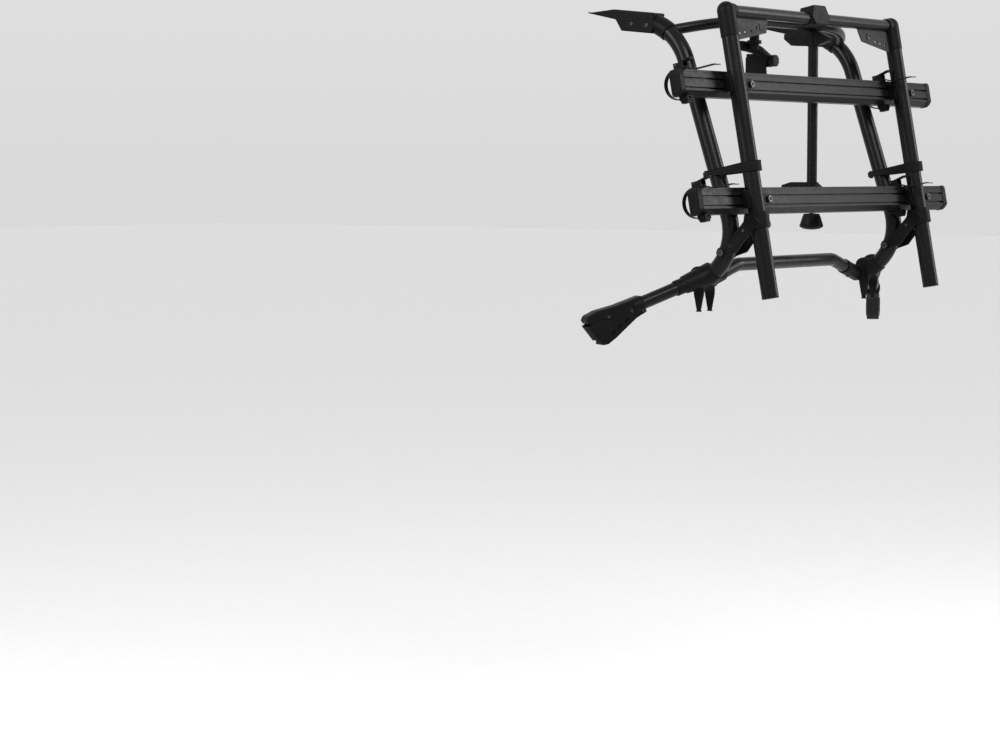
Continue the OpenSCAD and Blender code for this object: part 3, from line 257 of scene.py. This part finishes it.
def add(name, mesh_parts, finish, body, matrix=Matrix.Identity(4)):
    """One object from (vertices, faces) parts, in the shared frame, riding on a body."""
    verts, faces = [], []
    for part_verts, part_faces in mesh_parts:
        start = len(verts)
        verts += [tuple(matrix @ Vector(v)) for v in part_verts]
        faces += [tuple(i + start for i in f) for f in part_faces]
    mesh = bpy.data.meshes.new(name)
    mesh.from_pydata(verts, [], faces)
    mesh.validate()
    work = bmesh.new()
    work.from_mesh(mesh)
    bmesh.ops.recalc_face_normals(work, faces=work.faces)
    work.to_mesh(mesh)
    work.free()
    mesh.polygons.foreach_set("use_smooth", [True] * len(mesh.polygons))
    mesh.set_sharp_from_angle(angle=SHARP_ANGLE)
    mesh.materials.append(FINISH[finish])
    obj = bpy.data.objects.new(name, mesh)
    bpy.context.collection.objects.link(obj)
    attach(obj, body)
    return obj


def skin(rings, closed=False):
    """Joins rings of points into a closed skin."""
    n, steps = len(rings[0]), len(rings)
    faces = []
    for i in range(steps if closed else steps - 1):
        a, b = i * n, (i + 1) % steps * n
        faces += [(a + j, a + (j + 1) % n, b + (j + 1) % n, b + j) for j in range(n)]
    if not closed:
        faces += [tuple(range(n)), tuple(range((steps - 1) * n, steps * n))]
    return [p for ring in rings for p in ring], faces


def circle(r, sides):
    return [(r * cos(FULL_TURN * i / sides), r * sin(FULL_TURN * i / sides)) for i in range(sides)]


def sweep(path, radius, sides=10, closed=False):
    """A round bead along a path; radius is a function of the share of the way."""
    rings, count, up = [], len(path), None
    for i, p in enumerate(path):
        before = path[i - 1] if closed else path[max(i - 1, 0)]
        after = path[(i + 1) % count] if closed else path[min(i + 1, count - 1)]
        along = (after - before).normalized()
        side = along.cross(up if up else along.orthogonal()).normalized()
        up = side.cross(along)
        r = radius(i / count)
        rings.append([p + r * (side * x + up * y) for x, y in circle(1, sides)])
    return skin(rings, closed)


def plate(outline, low, high, edge, steps=3):
    """A flat piece in X-Y between two heights, with rounded edges; the outline runs anticlockwise."""
    pts = [Vector((p[0], p[1])) for p in outline]
    inward = []
    for before, here, after in zip(pts[-1:] + pts, pts, pts[1:] + pts[:1]):
        a, b = (here - before).normalized(), (after - here).normalized()
        half = Vector((-a.y - b.y, a.x + b.x))
        inward.append(half / max(half.dot(half) / 2, MITRE_LIMIT))
    rings = []
    for k in range(2 * steps + 2):
        bottom = k <= steps
        turn = pi / 2 * (k if bottom else 2 * steps + 1 - k) / steps
        inset, rise = edge * (1 - sin(turn)), edge * (1 - cos(turn))
        z = low + rise if bottom else high - rise
        rings.append([(p.x + d.x * inset, p.y + d.y * inset, z) for p, d in zip(pts, inward)])
    return skin(rings)


def rounded_box(size, edge):
    """A box about the origin with rounded corners and edges."""
    x, y, z = (s / 2 for s in size)
    r = min(x, y) * BOX_CORNER_SHARE
    corners = [(x - r, y - r, 0), (-x + r, y - r, 90), (-x + r, -y + r, 180), (x - r, -y + r, 270)]
    outline = [(cx + r * cos(radians(start + t)), cy + r * sin(radians(start + t)))
               for cx, cy, start in corners for t in BOX_CORNER_STEPS]
    return plate(outline, -z, z, min(edge, z * BOX_EDGE_SHARE))


def turned(profile, sides):
    """A form turned about Z from (radius, height) points, with closed ends."""
    return skin([[(x, y, z) for x, y in circle(r, sides)] for r, z in profile])


def placed(part, matrix):
    verts, faces = part
    return [matrix @ Vector(v) for v in verts], faces


def at(x, y, z):
    return Matrix.Translation((x, y, z))


def about(axis, angle):
    return Matrix.Rotation(angle, 4, axis)


def on_side(side, matrix):
    return MIRROR @ matrix if side > 0 else matrix


# Wheel straps: ladder bands from the anchor round the rail's mouth, through the buckle to a free tail

STRAP_PLACES = {f"{level}_{side}": (x, RAIL_FACE, h) for level, h in RAIL_LEVELS.items()
                for side, x in STRAP_X.items()}
LEVER_BODY = {f"{level}_{side}": f"lever_{level[0]}{side[0]}" for level in RAIL_LEVELS for side in STRAP_X}

LOOP_R = RAIL_H / 2 + STRAP_GAP + STRAP_T / 2
STRAP_UNDER, STRAP_THROUGH, STRAP_TAIL = 0.024, 0.02, 0.11
TAIL_DIP, TAIL_DIP_L = 0.011, 0.042
TAIL_DROOP, DROOP_SHARE = 0.004, 0.18
UNDER_STEPS, LOOP_STEPS, THROUGH_STEPS, TAIL_STEPS = 12, 48, 10, 69

BAND_STEP, BAND_HALF_T = 0.001, 0.0011
TOOTH_H, TOOTH_PITCH, TOOTH_STEPS = 0.001, 4, 2
TOOTH_FOOT_SHARE, TOOTH_TOP_SHARE = 0.72, 0.66
TIP_STEPS, TIP_TAPER = 12, 0.6


def strap_line():
    """The band's middle in the strap's Y-Z plane."""
    mouth, r = RAIL_DEPTH, LOOP_R
    line = [(mouth - STRAP_UNDER * (1 - i / UNDER_STEPS), -r) for i in range(UNDER_STEPS)]
    line += [(mouth + r * sin(pi * i / LOOP_STEPS), -r * cos(pi * i / LOOP_STEPS))
             for i in range(LOOP_STEPS + 1)]
    line += [(mouth - STRAP_THROUGH * i / THROUGH_STEPS, r) for i in range(1, THROUGH_STEPS + 1)]
    for i in range(1, TAIL_STEPS + 1):
        along = STRAP_TAIL * i / TAIL_STEPS
        fall = TAIL_DIP * (1 - cos(pi * min(along / TAIL_DIP_L, 1.0))) / 2
        droop = TAIL_DROOP * max(along / STRAP_TAIL - 1 + DROOP_SHARE, 0.0) / DROOP_SHARE
        line.append((mouth - STRAP_THROUGH - along, r - fall - droop))
    return [Vector(p) for p in line]


def resampled(line, step):
    """Points on the line that are one step of its length apart."""
    out, left = [line[0]], step
    for a, b in zip(line, line[1:]):
        length, pos = (b - a).length, 0.0
        while pos + left <= length:
            pos += left
            out.append(a + (b - a) * (pos / length))
            left = step
        left -= length - pos
    return out


def wheel_strap(key):
    """The band with its cross teeth on the outside, tapering to a rounded tip."""
    line = resampled(strap_line(), BAND_STEP)
    last, low, high = len(line) - 1, -BAND_HALF_T, BAND_HALF_T
    rings = []
    for i, p in enumerate(line):
        along = (line[min(i + 1, last)] - line[max(i - 1, 0)]).normalized()
        out = Vector((along.y, -along.x))
        left = last - i
        taper = TIP_TAPER * (max(TIP_STEPS - left, 0) / TIP_STEPS) ** 2
        w = STRAP_W / 2 * (1 - taper)
        foot, crown = w * TOOTH_FOOT_SHARE, w * TOOTH_TOP_SHARE
        top = high + (TOOTH_H if i % TOOTH_PITCH < TOOTH_STEPS and left > TIP_STEPS else 0.0)
        section = ((-w, low), (-w, high), (-foot, high), (-crown, top), (crown, top), (foot, high),
                   (w, high), (w, low))
        rings.append([(x, *(p + out * y)) for x, y in section])
    place = PLATFORM @ at(*STRAP_PLACES[key])
    return add("wheel_strap_" + key, [skin(rings)], "strap", "platform", matrix=place)


straps = [wheel_strap(key) for key in STRAP_PLACES]
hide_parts("wheel_straps")


# Buckles: a toothed ratchet wheel and a ribbed grip on each lever

RATCHET_TEETH, RATCHET_ROOT, RATCHET_CROWN = 12, 0.0051, 0.0058
RATCHET_TOOTH = ((0, RATCHET_ROOT), (0.15, RATCHET_CROWN), (0.5, RATCHET_CROWN), (0.6, RATCHET_ROOT))
RATCHET_HALF_W, RATCHET_EDGE = 0.0035, 0.0004
GRIP_RIB, GRIP_EDGE, GRIP_LIFT = (0.0135, 0.0016, 0.0012), 0.0005, 0.0032
GRIP_RIBS, GRIP_FROM, GRIP_PITCH = 4, 0.028, 0.004


def lever_pin(key):
    x, y, h = STRAP_PLACES[key]
    return PLATFORM @ at(x, y + LEVER_AT[0], h + LEVER_AT[1])


def ratchet(key):
    outline = []
    for i in range(RATCHET_TEETH):
        for share, r in RATCHET_TOOTH:
            turn = FULL_TURN * (i + share) / RATCHET_TEETH
            outline.append((r * cos(turn), r * sin(turn)))
    wheel = plate(outline, -RATCHET_HALF_W, RATCHET_HALF_W, RATCHET_EDGE, 1)
    add("ratchet_" + key, [wheel], "moulded", LEVER_BODY[key], matrix=lever_pin(key) @ about("Y", pi / 2))


def lever_grip(key):
    rib = rounded_box(GRIP_RIB, GRIP_EDGE)
    ribs = [placed(rib, at(0, GRIP_FROM + GRIP_PITCH * i, GRIP_LIFT)) for i in range(GRIP_RIBS)]
    turn = Matrix.Diagonal((1, -1, 1, 1)) @ about("X", LEVER_ANGLE)
    add("lever_grip_" + key, ribs, "moulded", LEVER_BODY[key], matrix=lever_pin(key) @ turn)


for key in STRAP_PLACES:
    ratchet(key)
    lever_grip(key)


# Anchors: two tapering feet below the rail

ANCHOR_FOOT = ((-0.011, -0.005), (0.011, -0.005), (0.011, 0.005), (-0.011, 0.005))
ANCHOR_TAPER = ((-0.0515, 0.7), (-0.0508, 0.84), (-0.0435, 1.0))
ANCHOR_FEET_Y = (0.006, 0.0175)


def anchor_teeth(key):
    foot = skin([[(x * share, y * share, z) for x, y in ANCHOR_FOOT] for z, share in ANCHOR_TAPER])
    add("anchor_teeth_" + key, [placed(foot, at(0, y, 0)) for y in ANCHOR_FEET_Y], "moulded", "platform",
        matrix=PLATFORM @ at(*STRAP_PLACES[key]))


for key in STRAP_PLACES:
    anchor_teeth(key)


# Hold straps: a tapering rubber loop round a side tube and an upright, hooked on the peg behind it

HOLD_STEPS, HOLD_SPACING = 20, 0.006
HOLD_WEB_SHARE, HOLD_BEAD = 0.94, 0.0006
# Half of the band's section, in shares of half its thickness, of the bead and of half its width
HOLD_HALF = ((-1, 0, 0.9), (-0.6, 0, 1), (0.6, 1, 1), (1, 1, 0.96), (1, 1, 0.86), (1, 0, 0.82))


def hold_outline(grow):
    """The loop's outline in its own plane, from the peg's end round the side tube and back."""
    big, small = HOLD_R + grow, HOLD_PEG_R + grow
    lean = acos((big - small) / HOLD_PEG_X)
    arcs = ((HOLD_PEG_X, small, -lean, lean, HOLD_STEPS), (0.0, big, lean, pi / 2, HOLD_STEPS // 2),
            (-HOLD_SPAN, big, pi / 2, 3 * pi / 2, HOLD_STEPS * 2),
            (0.0, big, -pi / 2, -lean, HOLD_STEPS // 2))
    corners = [Vector((cx + r * cos(a + (b - a) * i / n), r * sin(a + (b - a) * i / n)))
               for cx, r, a, b, n in arcs for i in range(n + 1)]
    dense = []
    for a, b in zip(corners, corners[1:] + corners[:1]):
        parts = max(1, ceil((b - a).length / HOLD_SPACING))
        dense += [a + (b - a) * i / parts for i in range(parts)]
    return dense


def hold_section(w):
    """The band's section: flat inside, with a bead along both edges outside."""
    t = HOLD_T / 2 * HOLD_WEB_SHARE
    half = [(t * thick + HOLD_BEAD * bead, w * wide) for thick, bead, wide in HOLD_HALF]
    return half + [(s, -z) for s, z in reversed(half)]


def hold_strap(name, side):
    place = on_side(side, at(-HALF_SPACING, *HOLD_AT) @ about("X", -HOLD_TILT) @ about("Z", pi / 2))
    middle = hold_outline(HOLD_T / 2)
    n, reach = len(middle), HOLD_SPAN + HOLD_PEG_X
    rings = []
    for i, p in enumerate(middle):
        along = (middle[(i + 1) % n] - middle[i - 1]).normalized()
        out = Vector((along.y, -along.x))
        share = min(max((HOLD_PEG_X - p.x) / reach, 0.0), 1.0)
        w = HOLD_NARROW / 2 + (HOLD_W - HOLD_NARROW) / 2 * share
        rings.append([place @ Vector((p.x + out.x * s, p.y + out.y * s, z)) for s, z in hold_section(w)])
    strap = add(name + "_rubber_strap", [skin(rings, closed=True)], "rubber", "base")
    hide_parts(name + "_hold_strap")
    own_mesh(strap)


for name, side in SIDES:
    hold_strap(name, side)


# Weld beads where the bow meets the uprights, and along the gussets; a bead is its radius, the height of
# its ripples and how many there are

BOW_BEAD, PLATE_BEAD, PLATE_BEAD_SIDES = (0.0021, 0.0004, 26), (0.0016, 0.0003, 18), 8
BOW_START = Vector((-HALF_SPACING + 0.007, -0.1613, -0.0315))
BOW_TURN, BOW_FALL = radians(41.8), radians(17)
BOW_WELD_POINTS, BOW_WELD_REACH, HALVINGS = 64, 0.08, 24
PLATE_WELD_Y, WELD_SINK = 0.0022, 0.0002
BAR_WELD_IN, BAR_WELD_STEP, BAR_WELD_POINTS = 0.036, 0.002, 76
TUBE_WELD_DROP, TUBE_WELD_STEP, TUBE_WELD_POINTS = 0.0785, 0.0001, 12


def ripple(radius, height, count):
    """A bead's radius as a function of the share of the way."""
    return lambda share: radius + height * sin(FULL_TURN * count * share)


def outside_upright(p):
    """Whether a point is clear of the left upright's upper bend."""
    ring = sqrt((p.y - UPPER_BEND_AT[0]) ** 2 + (p.z - UPPER_BEND_AT[1]) ** 2) - UPPER_BEND_R
    return sqrt(ring ** 2 + (p.x + HALF_SPACING) ** 2) > TUBE_R


def bow_weld(name, side):
    """The bead runs where the bow's skin meets the upright's bend, found by halving along each line."""
    along = Vector((cos(BOW_TURN), -sin(BOW_TURN) * cos(BOW_FALL), sin(BOW_TURN) * sin(BOW_FALL)))
    first = along.orthogonal().normalized()
    second = along.cross(first)
    path = []
    for x, y in circle(1, BOW_WELD_POINTS):
        base = BOW_START + BOW_R * (first * x + second * y)
        low, high = 0.0, BOW_WELD_REACH
        for _ in range(HALVINGS):
            mid = (low + high) / 2
            low, high = (low, mid) if outside_upright(base + along * mid) else (mid, high)
        path.append(on_side(side, Matrix.Identity(4)) @ (base + along * high))
    add(name + "_bow_weld", [sweep(path, ripple(*BOW_BEAD), closed=True)], "weld", "base")


def gusset_weld(name, side):
    """Two long beads below the crossbar and two short ones at the plate's foot on the side tube."""
    place = on_side(side, PLATFORM)
    bar_x, bar_z = -HALF_SPACING + BAR_WELD_IN, CROSSBAR_H - CROSSBAR_R - WELD_SINK
    tube_x, tube_z = -HALF_SPACING + TUBE_R + WELD_SINK, CROSSBAR_H - TUBE_WELD_DROP
    beads = []
    for face in (-1, 1):
        y = -HINGE_OFFSET + face * PLATE_WELD_Y
        bar = [Vector((bar_x + BAR_WELD_STEP * i, y, bar_z)) for i in range(BAR_WELD_POINTS)]
        tube = [Vector((tube_x, y, tube_z - TUBE_WELD_STEP * i)) for i in range(TUBE_WELD_POINTS)]
        for line in (bar, tube):
            beads.append(sweep([place @ p for p in line], ripple(*PLATE_BEAD), PLATE_BEAD_SIDES))
    add(name + "_gusset_weld", beads, "weld", "platform")


for name, side in SIDES:
    bow_weld(name, side)
    gusset_weld(name, side)


# Rail end caps: ribs on the end, each at a share of the rail's depth and as tall as a share of its height

CAP_RIB_T, CAP_RIB_W, CAP_RIB_EDGE = 0.0018, 0.0022, 0.0006
CAP_RIB_SINK, CAP_RIB_LIFT = 0.0004, 0.002
CAP_RIBS = ((0.38, 0.52), (0.58, 0.6), (0.78, 0.6))


def cap_trim(name, side, h):
    ribs = [placed(rounded_box((CAP_RIB_T, CAP_RIB_W, RAIL_H * height), CAP_RIB_EDGE),
                   at(-RAIL_LENGTH / 2 + CAP_RIB_SINK, RAIL_FACE + RAIL_DEPTH * depth, h + CAP_RIB_LIFT))
            for depth, height in CAP_RIBS]
    add(name, ribs, "moulded", "platform", matrix=on_side(side, PLATFORM))


for name, side in SIDES:
    for level, h in RAIL_LEVELS.items():
        cap_trim(f"{level}_{name}_cap_ribs", side, h)


# Feet: screws and painted slot shade on the housing, at shares of its length; round cheeks and a ribbed
# tread on the pad

SCREW_OUTLINE = ((0.0, -0.0012), (0.0035, -0.0012), (0.0037, 0.0004), (0.0031, 0.0011), (0.0014, 0.0011),
                 (0.0012, 0.0001), (0.0, 0.0001))
SCREW_SIDES = 24
SCREW_PLACES = ((0.234, -0.029), (0.055, -0.085), (0.62, 0.03))
# The slots are painted shade: thin dark strips lifted just off the housing's faces, standing in for the
# shadow inside recessed slots
SLOT_SIZE, SLOT_EDGE = (0.014, 0.0032, 0.0006), 0.0002
SLOT_PLACES = ((0.36, -0.13), (0.49, -0.175), (0.62, -0.222))
SLOT_TURN, SLOT_LIFT = radians(-28), 0.0002
CHEEK_R, CHEEK_T, CHEEK_GAP, CHEEK_EDGE, CHEEK_STEPS = 0.025, 0.002, 0.0004, 0.0008, 20
TREAD_W, TREAD_H, TREAD_INSET, TREAD_EDGE = 0.0028, 0.0024, 0.004, 0.0008
TREAD_RIBS, TREAD_FROM, TREAD_STEP = 6, 0.12, 0.152


def on_housing(side):
    foot = Matrix.Translation(FOOT_ORIGIN) @ about("Z", pi - FOOT_YAW) @ about("Y", FOOT_PITCH)
    return on_side(side, foot) @ at(FOOT_REACH, 0, 0) @ about("X", pi / 2)


def housing_details(name, side):
    screw, slot = turned(SCREW_OUTLINE, SCREW_SIDES), rounded_box(SLOT_SIZE, SLOT_EDGE)
    screws, slots = [], []
    for face in (-1, 1):
        flank = Matrix.Diagonal((1, 1, face, 1)) @ at(0, 0, HOUSING_T / 2)
        screws += [placed(screw, flank @ at(x * HOUSING_L, y * HOUSING_L, 0)) for x, y in SCREW_PLACES]
        slots += [placed(slot, flank @ at(x * HOUSING_L, y * HOUSING_L, SLOT_LIFT) @ about("Z", SLOT_TURN))
                  for x, y in SLOT_PLACES]
    add(name + "_housing_screws", screws, "screw", name + "_foot", matrix=on_housing(side))
    # Dark strips of painted shade where the housing's slots are
    add(name + "_painted_slot_shade", slots, "shade", name + "_foot", matrix=on_housing(side))


def pad_details(name, side):
    """D-shaped cheeks round the pad's pin, and ribs across its sole from toe to heel."""
    sole = PAD_HEEL - PAD_TOE
    along = sole.normalized()
    away = Vector((-along.y, along.x))
    outline = [PAD_TOE]
    for i in range(CHEEK_STEPS + 1):
        turn = pi * i / CHEEK_STEPS
        outline.append(PAD_PIN - along * CHEEK_R * cos(turn) - away * CHEEK_R * sin(turn))
    outline.append(PAD_HEEL)
    low = HOUSING_T / 2 + CHEEK_GAP
    cheek = plate(outline, low, low + CHEEK_T, CHEEK_EDGE)
    cheeks = [placed(cheek, Matrix.Diagonal((1, 1, face, 1))) for face in (-1, 1)]
    add(name + "_pad_cheeks", cheeks, "moulded", name + "_pad", matrix=on_housing(side))
    rib = rounded_box((TREAD_W, TREAD_H, HOUSING_T - 2 * TREAD_INSET), TREAD_EDGE)
    across = about("Z", atan2(along.y, along.x))
    ribs = [placed(rib, at(*(PAD_TOE + sole * (TREAD_FROM + TREAD_STEP * i)), 0) @ across)
            for i in range(TREAD_RIBS)]
    add(name + "_pad_tread", ribs, "rubber", name + "_pad", matrix=on_housing(side))


for name, side in SIDES:
    housing_details(name, side)
    pad_details(name, side)


# Long arm: rubber seats in the claw, each with its place along the claw and its height from the head's top

HEAD_TOP = LONG_ARM_AT - Vector((0, 0, HEAD_DROP))
SEAT_SIZE, SEAT_EDGE = (JAW_W * 0.8, 0.05, 0.003), 0.0012
SEATS = (("long_head_seat", "long_claw", 0.045, -0.0175),
         ("long_jaw_seat", "long_jaw", 0.038, -JAW_GAP + 0.0145))

for name, body, y, z in SEATS:
    seat = placed(rounded_box(SEAT_SIZE, SEAT_EDGE), at(*HEAD_TOP) @ at(0, y, z))
    add(name, [seat], "rubber", body)


# Camera, floor and light

CAMERA_AT, CAMERA_DOWN, CAMERA_TURN = (-5.8192, -3.7480, -0.4050), radians(4.72), radians(-52.38)
LENS, SENSOR, VIEW_END = 88.74, 36, 200
FLOOR_LEVEL, FLOOR_HALF = -2.2, 60.0
HORIZON_LIGHT, SKY_LIGHT, SKY_FROM = 0.70, 0.88, 0.35
AIM = Vector((0, -0.25, -0.4))
LAMPS = (("key", (-2.5, -4.5, 3.2), 230, (2.6, 1.6)),
         ("left_rim", (-4.5, 1.2, 1.5), 140, (1.0, 2.6)),
         ("right_fill", (3.6, -3.2, 1.0), 90, (1.2, 2.6)))

scene = bpy.context.scene
scene.view_settings.view_transform = "Standard"
camera = bpy.data.objects.new("camera", bpy.data.cameras.new("camera"))
bpy.context.collection.objects.link(camera)
camera.location = CAMERA_AT
camera.rotation_euler = (pi / 2 - CAMERA_DOWN, 0, CAMERA_TURN)
camera.data.lens, camera.data.sensor_width, camera.data.clip_end = LENS, SENSOR, VIEW_END
scene.camera = camera

floor_mesh = bpy.data.meshes.new("floor")
floor_corners = [(x * FLOOR_HALF, y * FLOOR_HALF, FLOOR_LEVEL)
                 for x, y in ((-1, -1), (1, -1), (1, 1), (-1, 1))]
floor_mesh.from_pydata(floor_corners, [], [(0, 1, 2, 3)])
floor_mesh.materials.append(material("pale_floor", (0.82, 0.82, 0.82), 0.8, grain=40, grain_depth=0.2,
                                     rough_var=0.03, tint_var=0.01, edge_r=0))
floor = bpy.data.objects.new("floor", floor_mesh)
bpy.context.collection.objects.link(floor)

world = bpy.data.worlds.new("soft_room")
scene.world = world
world.use_nodes = True
sky, join = world.node_tree.nodes, world.node_tree.links.new
direction = sky.new("ShaderNodeSeparateXYZ")
join(sky.new("ShaderNodeTexCoord").outputs["Generated"], direction.inputs[0])
rise = sky.new("ShaderNodeMapRange")
for socket, value in zip(rise.inputs[1:5], (0.0, SKY_FROM, HORIZON_LIGHT, SKY_LIGHT)):
    socket.default_value = value
join(direction.outputs["Z"], rise.inputs[0])
join(rise.outputs[0], sky["Background"].inputs[0])

for name, place, energy, (width, height) in LAMPS:
    light = bpy.data.lights.new(name, "AREA")
    light.shape, light.energy, light.size, light.size_y = "RECTANGLE", energy, width, height
    lamp = bpy.data.objects.new(name, light)
    bpy.context.collection.objects.link(lamp)
    lamp.location = place
    lamp.rotation_euler = (AIM - Vector(place)).to_track_quat("-Z", "Y").to_euler()
